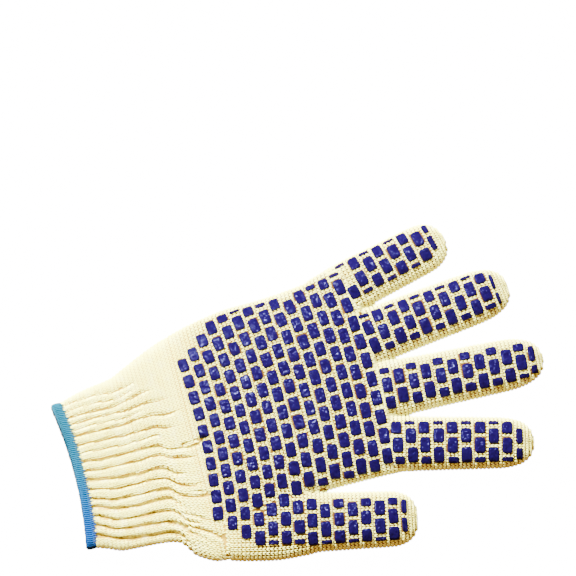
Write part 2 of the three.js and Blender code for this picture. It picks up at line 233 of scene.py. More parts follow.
# Legs of a stitch: place ahead and aside, half width and height, as shares of the stitch, slim over
# the hand, where the knit is open, and full over the cuff
SLIM_LEG = (
    (-0.56, 0.05, 0.0, -0.2), (-0.22, 0.14, 0.16, 1.0),
    (0.24, 0.27, 0.17, 0.95), (0.54, 0.34, 0.0, -0.2),
)
FULL_LEG = (
    (-0.66, 0.07, 0.0, -0.2), (-0.25, 0.17, 0.22, 1.0),
    (0.3, 0.3, 0.23, 0.95), (0.66, 0.37, 0.0, -0.2),
)
LEG_RING = ((-1.0, -0.25), (-0.45, 1.0), (0.45, 1.0), (1.0, -0.25))

# The wrist, along the glove: the hand's skin starts inside the ribbed base, shows from its edge on,
# and the ribbed base sinks under it
SKIN_START = 56.0
SKIN_EDGE = 57.0
RIBS_SINK = 58.5
WRIST_END = 60.5
RIBS_END = 64.0
TABLE_GAP = 0.02
SHADE_RAMP = (58.0, 84.0)  # between these places the painted shade under the stitches turns from golden to dark
FULL_YARN_END = 74.0  # the yarn grows slim before this place, over this length
FULL_YARN_FADE = 18.0

# Overlock stitch: places along the glove and heights over the middle of the fabric, of a loop of
# thread over the edge and of the cloth inside it
LOOP_PATH = (
    (1.9, 0.75), (0.6, 1.25), (-1.2, 1.5), (-2.5, 1.25),
    (-3.15, 0.3), (-2.9, -0.9), (-1.5, -1.5), (0.0, -1.2),
)
CORE_PATH = ((0.3, 1.0), (-1.4, 1.15), (-2.6, 0.9), (-2.95, 0.0), (-2.6, -0.9), (-1.4, -1.1), (0.3, -0.9))
CORE_POINTS = 120

# The middle of the picture, in glove millimetres on the table, and the lamps: metres up and right
# of it in the picture and over it, watts, size and colour
VIEW_CENTRE = (126.5, 67.0, 0.0)
LAMPS = (
    dict(name="key", up=0.95, right=-0.4, over=0.95, watts=380.0, size=0.4, colour=(0.96, 1.0, 0.76)),
    dict(name="fill", up=-0.3, right=0.8, over=1.2, watts=6.0, size=0.8, colour=(1.0, 0.7, 0.35)),
    dict(name="glint", up=0.5, right=-0.25, over=1.5, watts=24.0, size=0.2, colour=(0.85, 0.9, 1.0)),
)
WORLD_COLOUR = (1, 0.5, 0.12, 1)
WORLD_STRENGTH = 0.55
TABLE_HALF = 3.0
TABLE_GLOW = 16.0

# Skins and plans of the print that one step leaves for the next
SHARED = {}

RANDOM = np.random.default_rng(7)


def curve_of(rows, key, column):
    """A smooth curve through one column of a table, which never swings past its values."""
    x = np.array([row[key] for row in rows], float)
    y = np.array([row[column] for row in rows], float)
    step = np.diff(x)
    slope = np.diff(y) / step
    before, after = slope[:-1], slope[1:]
    inner = np.where(before * after > 0, 2 * before * after / (before + after + 1e-12), 0)
    tangent = np.concatenate([slope[:1], inner, slope[-1:]])

    def value(at):
        at = np.clip(np.asarray(at, float), x[0], x[-1])
        i = np.clip(np.searchsorted(x, at, side="right") - 1, 0, len(x) - 2)
        t = (at - x[i]) / step[i]
        a, b = y[i], y[i + 1]
        m, n = tangent[i] * step[i], tangent[i + 1] * step[i]
        ends = (2 * t**3 - 3 * t**2 + 1) * a + (3 * t**2 - 2 * t**3) * b
        return ends + (t**3 - 2 * t**2 + t) * m + (t**3 - t**2) * n

    return value


def hand_rows():
    """Outline of the cuff and the hand in millimetres, from both tables of stations."""
    parts = (
        (CUFF_STATIONS, 0.0, CUFF_LENGTH, CUFF_WIDTH),
        (PALM_STATIONS, CUFF_LENGTH, PALM_LENGTH, PALM_WIDTH),
    )
    rows = []
    for stations, start, size, width in parts:
        for row in stations:
            edges = dict(low=row["low"] * width, high=row["high"] * width)
            rows.append(dict(x=start + row["x"] * size, thickness=row["thick"] * PALM_THICKNESS, **edges))
    return rows


HAND = {column: curve_of(hand_rows(), "x", column) for column in ("low", "high", "thickness")}


def finish_digits():
    """Gives each finger its root, side by side over the palm's width, and its profile curves."""
    side = KNUCKLE_LOW
    for finger in FINGERS.values():
        finger["root"] = (PALM_END + finger["forward"], side + finger["width"] / 2)
        finger["thickness"] = FINGER_THICKNESS
        finger["profile"] = FINGER_PROFILE
        side += finger["width"]
    THUMB.update(root=THUMB_ROOT, thickness=THUMB_THICKNESS, profile=THUMB_PROFILE)
    digits = {"thumb": THUMB, **FINGERS}
    for digit in digits.values():
        digit["curves"] = {key: curve_of(digit["profile"], "at", key) for key in ("half", "thick", "rise")}
    return digits


DIGITS = finish_digits()


def section_lines(low, high, thickness, middle, squareness, inset=0.0, points=360):
    """Closed sections of a flattened tube, one row for each place along it: (places, points + 1, y and z)."""
    angle = np.linspace(0, 2 * np.pi, points + 1)[None, :]
    centre, half = (low + high)[:, None] / 2, (high - low)[:, None] / 2 - inset
    deep = thickness[:, None] / 2 - inset
    height = (1 - np.abs(np.cos(angle)) ** squareness).clip(0) ** (1 / squareness)
    y = centre + half * np.cos(angle)
    z = middle[:, None] - SINK + deep * height * np.sign(np.sin(angle).round(9))
    return np.stack([y, np.maximum(z, inset)], axis=2)


def arc_lengths(lines):
    steps = np.linalg.norm(np.diff(lines, axis=1), axis=2)
    return np.concatenate([np.zeros((len(lines), 1)), np.cumsum(steps, axis=1)], axis=1)


def at_arc(lines, lengths, distance):
    """Points of each section at the given distances along it, which may be one list for all sections."""
    distance = np.broadcast_to(distance, (len(lines), np.shape(distance)[-1]))
    out = np.empty(distance.shape + (2,))
    for i, line in enumerate(lines):
        out[i, :, 0] = np.interp(distance[i], lengths[i], line[:, 0])
        out[i, :, 1] = np.interp(distance[i], lengths[i], line[:, 1])
    return out


def hand_lines(x, inset=0.0):
    thickness = HAND["thickness"](x)
    return section_lines(HAND["low"](x), HAND["high"](x), thickness, thickness / 2, HAND_SQUARENESS, inset)


def bowed(x, points):
    """Points (places, n, y and z) in space: the end of the cuff curves in at its middle."""
    low, high = HAND["low"](x)[:, None], HAND["high"](x)[:, None]
    across = (2 * points[..., 0] - low - high) / (high - low)
    bow = EDGE_BOW * np.clip(1 - x / (0.7 * CUFF_LENGTH), 0, 1.2)[:, None] * (1 - across**2)
    return np.dstack([x[:, None] + bow, points])


def digit_lines(digit, along, inset=0.0):
    at = np.asarray(along) / digit["length"]
    half = digit_half(digit, along)
    thickness = digit["curves"]["thick"](at) * digit["thickness"]
    middle = digit["curves"]["rise"](at) * digit["thickness"]
    return section_lines(-half, half, thickness, middle, FINGER_SQUARENESS, inset, points=120)


def on_hand(digit, points):
    """Turns points from a finger's own axes (along, across, up) into the glove's."""
    turn = math.radians(digit["turn"])
    out = np.array(points, float)
    out[..., 0] = digit["root"][0] + points[..., 0] * math.cos(turn) - points[..., 1] * math.sin(turn)
    out[..., 1] = digit["root"][1] + points[..., 0] * math.sin(turn) + points[..., 1] * math.cos(turn)
    return out


def on_digit(digit, points):
    """The other way round: places in plan, in a finger's own axes."""
    turn = math.radians(digit["turn"])
    x, y = points[..., 0] - digit["root"][0], points[..., 1] - digit["root"][1]
    return x * math.cos(turn) + y * math.sin(turn), y * math.cos(turn) - x * math.sin(turn)


def digit_half(digit, along):
    slim = 1 + (digit["slim"] - 1) * np.clip(2.5 * np.asarray(along) / digit["length"], 0, 1)
    return digit["curves"]["half"](np.asarray(along) / digit["length"]) * slim * digit["width"] / 2


def even_steps(digit, first, step):
    """Places along a finger an even distance apart over its skin, so that they crowd together at its tip."""
    along = np.linspace(first, digit["length"], 600)
    thick = digit["curves"]["thick"](along / digit["length"]) * digit["thickness"] / 2
    travel = np.concatenate([[0], np.cumsum(np.hypot(np.diff(along), np.diff(thick)))])
    return np.interp(np.arange(0, travel[-1], step), travel, along)


# The part's origin is the middle of its underside, so the glove is centred on the frame's box.
_tip = FINGERS["middle_finger"]
GLOVE_LOW_X = -EDGING_LENGTH
GLOVE_HIGH_X = _tip["root"][0] + _tip["length"] * math.cos(math.radians(_tip["turn"]))


def shift_to_frame():
    """What moves glove millimetres onto the frame: found from the nodes' own boxes."""
    low, high = (np.array(corner) * 1000 for corner in CAD_BOX)
    thumb_low = np.array(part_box("thumb")[0])[1] * 1000
    lines = digit_lines(THUMB, np.linspace(0, THUMB["length"], 60))
    place = np.linspace(0, THUMB["length"], 60)[:, None] * np.ones((1, lines.shape[1]))
    own_low = on_hand(THUMB, np.dstack([place, lines]))[..., 1].min()
    return np.array([(low[0] + high[0]) / 2 - (GLOVE_LOW_X + GLOVE_HIGH_X) / 2, thumb_low - own_low, 0.0])


SHIFT = shift_to_frame()


def to_frame(points):
    return (np.asarray(points, float).reshape(-1, 3) + SHIFT) / 1000


# Meshes


def mesh_piece(name, points, faces, material, slot, replaces=()):
    """A visible piece of the glove from glove millimetres. All its faces have the same number of corners."""
    faces = np.asarray(faces, np.int32)
    points = np.array(points)
    points[:, 2] = points[:, 2].clip(TABLE_GAP)
    mesh = bpy.data.meshes.new(name)
    mesh.vertices.add(len(points))
    mesh.vertices.foreach_set("co", to_frame(points).astype(np.float32).ravel())
    mesh.loops.add(faces.size)
    mesh.loops.foreach_set("vertex_index", faces.ravel())
    mesh.polygons.add(len(faces))
    mesh.polygons.foreach_set("loop_start", np.arange(len(faces), dtype=np.int32) * faces.shape[1])
    mesh.update(calc_edges=True)
    mesh.validate()
    mesh.polygons.foreach_set("use_smooth", np.ones(len(mesh.polygons), bool))
    mesh.materials.append(material)
    piece = bpy.data.objects.new(name, mesh)
    bpy.context.scene.collection.objects.link(piece)
    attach(piece, "root")
    if replaces:
        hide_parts(*replaces)
    return piece


def grid_faces(rows, columns):
    """Four-cornered faces of a grid of points, whose rows close on themselves."""
    i, j = np.meshgrid(np.arange(rows - 1), np.arange(columns), indexing="ij")
    k = (j + 1) % columns
    faces = np.stack([i * columns + j, i * columns + k, (i + 1) * columns + k, (i + 1) * columns + j], axis=2)
    return faces.reshape(-1, 4)


def closed_loft(grid):
    """Points and triangles of a closed body through sections: (places, n, 3)."""
    rows, columns = grid.shape[:2]
    quads = grid_faces(rows, columns)
    points = np.concatenate([grid.reshape(-1, 3), grid[0].mean(axis=0)[None], grid[-1].mean(axis=0)[None]])
    triangles = [quads[:, [0, 1, 2]], quads[:, [0, 2, 3]]]
    j = np.arange(columns)
    k = (j + 1) % columns
    first, last = rows * columns, rows * columns + 1
    triangles.append(np.stack([np.full(columns, first), k, j], axis=1))
    end = (rows - 1) * columns
    triangles.append(np.stack([np.full(columns, last), end + j, end + k], axis=1))
    return points, np.concatenate(triangles)


def hand_grid(x, inset, around=150):
    lines = hand_lines(x, inset)
    lengths = arc_lengths(lines)
    share = np.arange(around) / around
    return bowed(x, at_arc(lines, lengths, lengths[:, -1:] * share))


def digit_grid(digit, along, inset, around=72, flutes=0.0):
    lines = digit_lines(digit, along, inset)
    lengths = arc_lengths(lines)
    share = np.arange(around) / around
    points = at_arc(lines, lengths, lengths[:, -1:] * share)
    if flutes:
        near_tip = np.clip((along / digit["length"] - 0.84) / 0.12, 0, 1)[:, None, None]
        centre = points.mean(axis=1, keepdims=True)
        wave = 0.5 + 0.5 * np.cos(2 * np.pi * 12 * share)[None, :, None]
        points = centre + (points - centre) * (1 - flutes * near_tip * wave)
    place = np.broadcast_to(np.asarray(along)[:, None, None], points.shape[:2] + (1,))
    return on_hand(digit, np.concatenate([place, points], axis=2))


def remeshed(parts, voxel, smoothing):
    """One skin round several closed bodies, in glove millimetres: its points and four-cornered faces."""
    points = np.concatenate([part[0] for part in parts])
    offsets = np.cumsum([0] + [len(part[0]) for part in parts[:-1]])
    faces = np.concatenate([part[1] + offset for part, offset in zip(parts, offsets)])
    mesh = bpy.data.meshes.new("rough")
    mesh.from_pydata((points / 1000).tolist(), [], faces.tolist())
    rough = bpy.data.objects.new("rough", mesh)
    bpy.context.scene.collection.objects.link(rough)
    remesh = rough.modifiers.new("skin", "REMESH")
    remesh.mode = "VOXEL"
    remesh.voxel_size = voxel / 1000
    smooth = rough.modifiers.new("smooth", "SMOOTH")
    smooth.factor = 0.5
    smooth.iterations = smoothing
    made = bpy.data.meshes.new_from_object(rough.evaluated_get(bpy.context.evaluated_depsgraph_get()))
    out = np.empty(len(made.vertices) * 3)
    made.vertices.foreach_get("co", out)
    corners = np.empty(len(made.loops), np.int32)
    made.loops.foreach_get("vertex_index", corners)
    sizes = np.empty(len(made.polygons), np.int32)
    made.polygons.foreach_get("loop_total", sizes)
    if not len(sizes) or (sizes != 4).any():
        raise RuntimeError("the voxel skin isn't made of four-cornered faces")
    bpy.data.objects.remove(rough)
    bpy.data.meshes.remove(made)
    return out.reshape(-1, 3) * 1000, corners.reshape(-1, 4)


def used_only(points, faces):
    used, back = np.unique(faces, return_inverse=True)
    return points[used], back.reshape(faces.shape)


# The knit


def groove_line(groove):
    """The middle of a groove, as a share of the width, at each place along the glove."""
    beyond = groove["wrist"] + 0.2 * (groove["wrist"] - groove["middle"])
    shares = ((3.0, groove["end"]), (22.0, groove["middle"]), (45.0, groove["wrist"]), (62.0, beyond))
    return curve_of([dict(x=x, share=share) for x, share in shares], "x", "share")


GROOVE_LINES = [groove_line(groove) for groove in GROOVES]


def rib_groove(x, y, settings):
    """How deep the surface lies at places of the cuff, in the grooves between its ribs."""
    low, high = HAND["low"](x), HAND["high"](x)
    depth = np.zeros(np.broadcast(x, y).shape)
    for number, (groove, middle) in enumerate(zip(GROOVES, GROOVE_LINES)):
        line = middle(x) + 0.002 * np.sin(x / 5.0 + 2.1 * number) + 0.0012 * np.sin(x / 1.9 + number)
        off = (high - line * (high - low)) - y
        fade = 1 / (1 + np.exp((x - groove["reach"]) / 1.6))
        uneven = 1 + 0.25 * np.sin(x / 3.7 + 1.3 * number)
        narrow, wide = np.exp(-((off / 0.65) ** 2)), np.exp(-((off / 1.6) ** 2))
        depth += fade * groove["strength"] * uneven * (narrow + 0.4 * wide)
    return depth * settings.rib_depth * 1000


def wrist_puckers(x, y):
    """Shallow folds that run from the ribs into the ball of the thumb and the heel of the hand."""
    depth = np.zeros(np.broadcast(x, y).shape)
    for fold in WRIST_FOLDS:
        start, end = np.array(fold["start"]), np.array(fold["end"])
        run = end - start
        share = ((x - start[0]) * run[0] + (y - start[1]) * run[1]) / (run @ run)
        off = ((y - start[1]) * run[0] - (x - start[0]) * run[1]) / np.linalg.norm(run)
        off = off - fold["bend"] * np.sin(np.pi * np.clip(share, 0, 1))
        fade = np.clip(share / 0.15, 0, 1) * np.clip((1 - share) / 0.35, 0, 1)
        depth += fold["depth"] * fade * np.exp(-((off / fold["width"]) ** 2))
    return depth


def wale_pitch(half_arc, settings):
    """Distance between wales: fixed over the hand, and drawn together towards the cuff."""
    tight = half_arc / settings.wales_over_cuff
    return np.minimum(tight, settings.wale_pitch * 1000)


def hand_stitch_places(x, settings):
    """Stitches of the palm, back and cuff: their places, their pitch and which side they are on."""
    lines = hand_lines(x)
    lengths = arc_lengths(lines)
    half_way = lines.shape[1] // 2
    top_arc, whole = lengths[:, half_way], lengths[:, -1]
    pitch = wale_pitch(top_arc, settings)
    most = int(np.ceil((top_arc / pitch).max())) + 1
    wale = (np.arange(most) + 0.5)[None, :]
    found = []
    for top in (True, False):
        arc = top_arc if top else whole - top_arc
        distance = wale * pitch[:, None]
        place = distance if top else whole[:, None] - distance
        points = bowed(x, at_arc(lines, lengths, place))
        valid = distance < arc[:, None] - 0.2 * pitch[:, None]
        found.append(dict(points=points, valid=valid, pitch=pitch, top=top))
    return found


def frames_of(points, valid):
    """Direction along the wale at each stitch, from its neighbours in the courses before and after."""
    along = np.empty_like(points)
    along[1:-1] = points[2:] - points[:-2]
    along[0], along[-1] = points[1] - points[0], points[-1] - points[-2]
    bad = np.abs(along[..., 1]) > 2.0 * np.abs(along[..., 0])
    along[bad] = (1.0, 0.0, 0.0)
    return along[valid]


def seat_stitches(points, along, across, skin, groove, deepest):
    """Stitches on the skin: keeps those on its outside, and gives place, axes and size of each."""
    seats = []
    for i in range(len(points)):
        near, normal, _, far = skin.find_nearest(Vector(points[i]))
        if near is None or far > deepest + 0.6:
            continue
        out = (Vector(points[i]) - near).dot(normal)
        if out < -deepest:
            continue
        seats.append((i, *near, *normal))
    seats = np.array(seats)
    chosen = seats[:, 0].astype(int)
    place, normal = seats[:, 1:4], seats[:, 4:7]
    forward = along[chosen]
    forward = forward - (forward * normal).sum(1, keepdims=True) * normal
    forward /= np.linalg.norm(forward, axis=1, keepdims=True) + 1e-9
    side = np.cross(normal, forward)
    place = place - normal * groove[chosen, None]
    return place, forward, side, normal, across[chosen]


def stitch_mesh(place, forward, side, normal, course, across, height, fullness):
    """Two rounded legs of yarn for each stitch, as a V that opens towards the fingertips."""
    count = len(place)
    turn = RANDOM.normal(0, 0.05, count)[:, None]
    ahead = forward * np.cos(turn) + side * np.sin(turn)
    aside = side * np.cos(turn) - forward * np.sin(turn)
    grow = RANDOM.uniform(0.93, 1.07, count)[:, None]
    points, faces = [], []
    for hand in (-1, 1):
        corners = []
        for a, b in zip(SLIM_LEG, FULL_LEG):
            ahead_by, aside_by, half, rise = (p + (q - p) * fullness[:, None] for p, q in zip(a, b))
            centre = place + ahead * (ahead_by * course * grow) + aside * (hand * aside_by * across[:, None])
            if a[2] == 0.0:
                corners.append(centre + normal * (rise * height))
                continue
            for aside_share, rise_share in LEG_RING:
                offset = aside * (hand * aside_share * half * across[:, None])
                corners.append(centre + offset + normal * (rise * rise_share * height))
        points.append(np.stack(corners, axis=1))
        leg = [(0, 2, 1), (0, 3, 2), (0, 4, 3)]
        for i in range(1, 4):
            leg += [(i, i + 1, i + 5), (i, i + 5, i + 4)]
        leg += [(5, 6, 9), (6, 7, 9), (7, 8, 9)]
        leg = np.array(leg)
        faces.append(leg if hand > 0 else leg[:, ::-1])
    size = points[0].shape[1]
    flat, all_faces, start = [], [], 0
    for body, leg in zip(points, faces):
        flat.append(body.reshape(-1, 3))
        offset = start + np.arange(count)[:, None, None] * size
        all_faces.append((leg[None] + offset).reshape(-1, 3))
        start += count * size
    return np.concatenate(flat), np.concatenate(all_faces)


def bvh_of(points, faces):
    return BVHTree.FromPolygons(points.tolist(), faces.tolist())


def inside(tree, point):
    near, normal, _, _ = tree.find_nearest(Vector(point))
    return (Vector(point) - near).dot(normal) < 0


# Printed blocks


def row_place(row, y):
    """How far along the glove the middle of a row of the palm lies at a place across it."""
    across = y / PALM_WIDTH
    first = CUFF_LENGTH + FIRST_ROW * PALM_LENGTH
    sag = ROW_SAG_LITTLE if y > 0 else ROW_SAG
    return first + row * ROW_MILLIMETRES - sag * across**2 + across


def print_edges(row, x):
    """Where the palm's print ends on both sides: over the ball of the thumb along the thumb's axis."""
    low, high = HAND["low"](x) + PRINT_MARGIN_LOW, HAND["high"](x) - PRINT_MARGIN_HIGH
    if row < THUMB_ROWS:
        slope = math.radians(THUMB["turn"])
        low = THUMB_ROOT[1] + (x - THUMB_ROOT[0]) * math.tan(slope) - THUMB_PRINT / math.cos(slope)
    return low, high


def palm_block_plan(settings):
    """Plan of each printed block of the palm: middle, half sizes and turn."""
    plans = []
    reach = (ROW_MILLIMETRES - settings.row_gap * 1000) / 2
    for row, blocks in enumerate(PALM_ROWS):
        pitch = PITCH_AT_WRIST + PITCH_GROWTH * row
        for n in np.arange(blocks["first"], blocks["last"] + 0.1):
            y = (n + blocks["shift"]) * pitch
            y *= blocks["stretch"] if y < 0 else 1
            edge_low, edge_high = print_edges(row, row_place(row, y))
            half = (pitch - settings.block_gap * 1000) / 2
            low = max(y - half, edge_low)
            high = min(y + half, edge_high)
            if high - low < 1000 * settings.shortest:
                continue
            middle = (low + high) / 2
            turn = math.atan2(row_place(row, low) - row_place(row, high), high - low)
            plans.append((row_place(row, middle), middle, reach, (high - low) / 2, turn))
    return plans


def digit_block_plan(digit, first, last, settings):
    """Plan of the printed blocks of a finger's rows, cut off at the edges of the print."""
    plans = []
    gap = settings.row_gap * 1000
    turn = math.radians(digit["turn"]) + digit["slant"]
    for row in range(first, last):
        start = row * digit["row"] + digit["lead"] + gap / 2
        end = min(start + digit["row"] - gap, digit["length"] - digit["tip"])
        if end - start < 1.5:
            break
        half = min(float(digit_half(digit, (start + end) / 2)), float(digit_half(digit, end)) + 1.0)
        for n in range(-3, 4):
            across = (n + digit["shift"] + digit["stagger"] * (row % 2)) * digit["pitch"]
            across += digit["slant"] * (start + end) / 2
            block = (digit["pitch"] - settings.block_gap * 1000) / 2
            low = max(across - block, -digit["low"] * half)
            high = min(across + block, digit["high"] * half)
            if high - low < 1000 * settings.shortest:
                continue
            lean = digit["lean"] * (low + high) / 2 * math.exp(-max(start, 0) / 14)
            middle = on_hand(digit, np.array([(start + end) / 2 - lean, (low + high) / 2, 0.0]))
            plans.append((middle[0], middle[1], (end - start) / 2, (high - low) / 2, turn))
    return plans


def overlap(a, b):
    """Whether two blocks would lie over each other by more than the print's own unevenness."""
    dx, dy = b[0] - a[0], b[1] - a[1]
    p = abs(dx * math.cos(a[4]) + dy * math.sin(a[4]))
    q = abs(dy * math.cos(a[4]) - dx * math.sin(a[4]))
    return p < a[2] + b[2] - 0.4 and q < a[3] + b[3] - 0.5


def block_mesh(plans, skin, settings):
    """Soft vinyl pads that follow the knit: rounded corners, domed edges and slightly lumpy tops."""
    angles = np.linspace(0, 2 * np.pi, BLOCK_POINTS, endpoint=False)
    circle = np.stack([np.cos(angles), np.sin(angles)], axis=1)
    corner = 5.0
    outline = np.sign(circle) * np.abs(circle) ** (2 / corner)
    rise = settings.rise * 1000
    points, faces = [], []
    for x, y, ahead, aside, turn in plans:
        turn += RANDOM.normal(0, 0.02)
        ahead *= RANDOM.uniform(0.95, 1.04)
        aside *= RANDOM.uniform(0.96, 1.03)
        x += RANDOM.normal(0, 0.08)
        y += RANDOM.normal(0, 0.08)
        start = len(points)
        top, _, _, _ = skin.ray_cast(Vector((x, y, 60)), Vector((0, 0, -1)))
        lumps = RANDOM.normal(0, 0.06, (len(BLOCK_RINGS), BLOCK_POINTS))
        lumps = (lumps + np.roll(lumps, 1, 1) + np.roll(lumps, -1, 1)) / 1.6
        for ring, (size, height) in enumerate(BLOCK_RINGS):
            for i, (p, q) in enumerate(outline):
                p, q = p * ahead * size, q * aside * size
                at_x = x + p * math.cos(turn) - q * math.sin(turn)
                at_y = y + p * math.sin(turn) + q * math.cos(turn)
                hit, normal, _, _ = skin.ray_cast(Vector((at_x, at_y, 60)), Vector((0, 0, -1)))
                if hit is None:
                    hit, normal, _, _ = skin.find_nearest(Vector((at_x, at_y, 6)))
                up = (normal + Vector((0, 0, 0.7))).normalized()
                if top and hit.z < top.z - BLOCK_DROOP:
                    hit.z = top.z - BLOCK_DROOP
                    up = Vector((0, 0, 1))
                lump = lumps[ring, i] if ring >= 2 else 0.0
                points.append(hit + up * (height * rise + lump))
        middle = sum((points[-BLOCK_POINTS + i] for i in range(BLOCK_POINTS)), Vector()) / BLOCK_POINTS
        points.append(middle)
        body = grid_faces(len(BLOCK_RINGS), BLOCK_POINTS) + start
        faces.append(body[:, [0, 1, 2]])
        faces.append(body[:, [0, 2, 3]])
        end = start + (len(BLOCK_RINGS) - 1) * BLOCK_POINTS
        j = np.arange(BLOCK_POINTS)
        tip = np.full(BLOCK_POINTS, end + BLOCK_POINTS)
        faces.append(np.stack([end + j, end + (j + 1) % BLOCK_POINTS, tip], axis=1))
    return np.array([tuple(point) for point in points]), np.concatenate(faces)


def under_blocks(place, plans):
    """Which places in plan lie well under a printed block."""
    hidden = np.zeros(len(place), bool)
    for x, y, ahead, aside, turn in plans:
        dx, dy = place[:, 0] - x, place[:, 1] - y
        p = dx * math.cos(turn) + dy * math.sin(turn)
        q = dy * math.cos(turn) - dx * math.sin(turn)
        hidden |= (np.abs(p) < ahead - 0.5) & (np.abs(q) < aside - 0.5)
    return hidden


# Materials


def shader(name):
    material = bpy.data.materials.new(name)
    material.use_nodes = True
    nodes = material.node_tree.nodes
    return material, nodes, material.node_tree.links, nodes["Principled BSDF"]


def noise(nodes, links, scale, detail=4.0):
    place = nodes.new("ShaderNodeTexCoord")
    texture = nodes.new("ShaderNodeTexNoise")
    texture.inputs["Scale"].default_value = scale
    texture.inputs["Detail"].default_value = detail
    links.new(place.outputs["Object"], texture.inputs["Vector"])
    return texture


def ramp(nodes, links, source, stops):
    colours = nodes.new("ShaderNodeValToRGB")
    elements = colours.color_ramp.elements
    while len(elements) < len(stops):
        elements.new(0.5)
    for element, (position, colour) in zip(elements, stops):
        element.position = position
        element.color = (*colour, 1)
    links.new(source, colours.inputs["Fac"])
    return colours


def along_axis(nodes, links, axis, start, end):
    """Runs from 0 at the start to 1 at the end, along one axis of the frame."""
    place = nodes.new("ShaderNodeTexCoord")
    split = nodes.new("ShaderNodeSeparateXYZ")
    spread = nodes.new("ShaderNodeMapRange")
    links.new(place.outputs["Object"], split.inputs["Vector"])
    links.new(split.outputs[axis], spread.inputs["Value"])
    spread.inputs["From Min"].default_value = start
    spread.inputs["From Max"].default_value = end
    return spread.outputs["Result"]


def bump(nodes, links, height, strength, distance, target):
    lift = nodes.new("ShaderNodeBump")
    lift.inputs["Strength"].default_value = strength
    lift.inputs["Distance"].default_value = distance
    links.new(height, lift.inputs["Height"])
    links.new(lift.outputs["Normal"], target.inputs["Normal"])


def mixed(a, b, share):
    return tuple(x + (y - x) * share for x, y in zip(a, b))


def cotton_yarn(name, light, warm):
    """Undyed yarn: blotches of a second colour, and fine fibres that break up the light. For the stitches the
    second colour is warmer cotton; for the lining it is painted shade, and for the ribs' skin both colours
    are painted shade.
    """
    material, nodes, links, yarn = shader(name)
    blotches = noise(nodes, links, 220.0, 6.0)
    stops = ((0.3, warm), (0.55, light), (0.8, mixed(light, (1, 1, 1), 0.25)))
    colours = ramp(nodes, links, blotches.outputs["Fac"], stops)
    links.new(colours.outputs["Color"], yarn.inputs["Base Color"])
    yarn.inputs["Roughness"].default_value = 0.92
    yarn.inputs["Sheen Weight"].default_value = 0.08
    yarn.inputs["Sheen Roughness"].default_value = 0.6
    fibres = noise(nodes, links, 3800.0, 3.0)
    bump(nodes, links, fibres.outputs["Fac"], 0.5, 0.0003, yarn)
    return material


def hand_cotton_painted_shade(shade, groove):
    """Painted shade under the stitches: a golden colour at the wrist that turns darker over the hand, where
    the knit is open, standing for the shade in the holes of the knit.
    """
    material, nodes, links, cotton = shader("cotton_painted_shade_between_stitches")
    start, end = to_frame([(x, 0, 0) for x in SHADE_RAMP])[:, 0]
    spread = along_axis(nodes, links, "X", start, end)
    colours = ramp(nodes, links, spread, ((0.0, tuple(groove)), (1.0, tuple(shade))))
    links.new(colours.outputs["Color"], cotton.inputs["Base Color"])
    cotton.inputs["Roughness"].default_value = 0.95
    return material


def soft_vinyl(colour):
    """Printed vinyl: glossy, deep blue, a little paler where it is thin, with a fine orange peel."""
    material, nodes, links, vinyl = shader("navy_vinyl")
    clouds = noise(nodes, links, 420.0, 3.0)
    stops = ((0.35, colour), (0.75, mixed(colour, (0.02, 0.012, 0.14), 0.07)))
    colours = ramp(nodes, links, clouds.outputs["Fac"], stops)
    links.new(colours.outputs["Color"], vinyl.inputs["Base Color"])
    vinyl.inputs["Roughness"].default_value = 0.07
    vinyl.inputs["Specular IOR Level"].default_value = 0.2
    vinyl.inputs["Specular Tint"].default_value = (0.4, 0.4, 1.0, 1)
    peel = noise(nodes, links, 400.0, 1.0)
    bump(nodes, links, peel.outputs["Fac"], 0.6, 0.001, vinyl)
    return material


def overlock_thread(top, bottom):
    """Turquoise thread that turns bluer towards the thumb's side."""
    material, nodes, links, thread = shader("turquoise_thread")
    low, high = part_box("cuff_edging")
    spread = along_axis(nodes, links, "Y", low[1], high[1])
    colours = ramp(nodes, links, spread, ((0.12, bottom), (0.5, mixed(top, bottom, 0.2)), (1.0, top)))
    links.new(colours.outputs["Color"], thread.inputs["Base Color"])
    thread.inputs["Roughness"].default_value = 0.65
    thread.inputs["Sheen Weight"].default_value = 0.05
    thread.inputs["Specular IOR Level"].default_value = 0.2
    fibres = noise(nodes, links, 2600.0, 3.0)
    bump(nodes, links, fibres.outputs["Fac"], 0.5, 0.0003, thread)
    return material


# Settings


def length(name, description, default):
    return FloatProperty(name=name, description=description, default=default, unit="LENGTH", precision=5)


def colour(name, description, default):
    return FloatVectorProperty(name=name, description=description, default=default, subtype="COLOR")


def angle(name, description, degrees):
    return FloatProperty(name=name, description=description, default=math.radians(degrees), subtype="ANGLE")


class KnitSettings(bpy.types.PropertyGroup):
    course: length("Course", "Length of a stitch along the glove", 0.0020)
    wale_pitch: length("Wale", "Width of a stitch over the hand", 0.00195)
    wales_over_cuff: IntProperty(name="Cuff wales", description="Stitches across its upper side", default=63)
    rib_depth: length("Rib depth", "Depth of the deepest groove between two ribs", 0.0021)
    height: length("Stitch height", "How far a stitch stands out of the skin under it", 0.00055)
    light: colour("Cotton", "Colour of the yarn in the light", (0.96, 0.95, 0.25))
    warm: colour("Warm cotton", "Colour of the yarn's warmer stretches", (0.94, 0.87, 0.15))
    # painted shade: this dark colour under the stitches stands for the shade in the holes of the knit
    shade: colour("Painted shade between stitches", "Colour deep between the stitches of the hand", (0.075, 0.034, 0.004))
    # painted shade: this golden colour under the cuff's stitches stands for the shade in its grooves and at
    # the wrist
    groove: colour("Painted shade between ribs", "Colour deep in the cuff", (0.38, 0.24, 0.018))


class PrintSettings(bpy.types.PropertyGroup):
    rise: length("Rise", "Height of a block over the skin", 0.00115)
    row_gap: length("Gap between rows", "Bare knit between two rows", 0.0014)
    block_gap: length("Gap in a row", "Bare knit between two blocks of a row", 0.0018)
    shortest: length("Shortest block", "A block cut shorter by the edge of the print is left off", 0.0011)
    colour: colour("Vinyl", "Colour of the printed blocks", (0.002, 0.0003, 0.019))


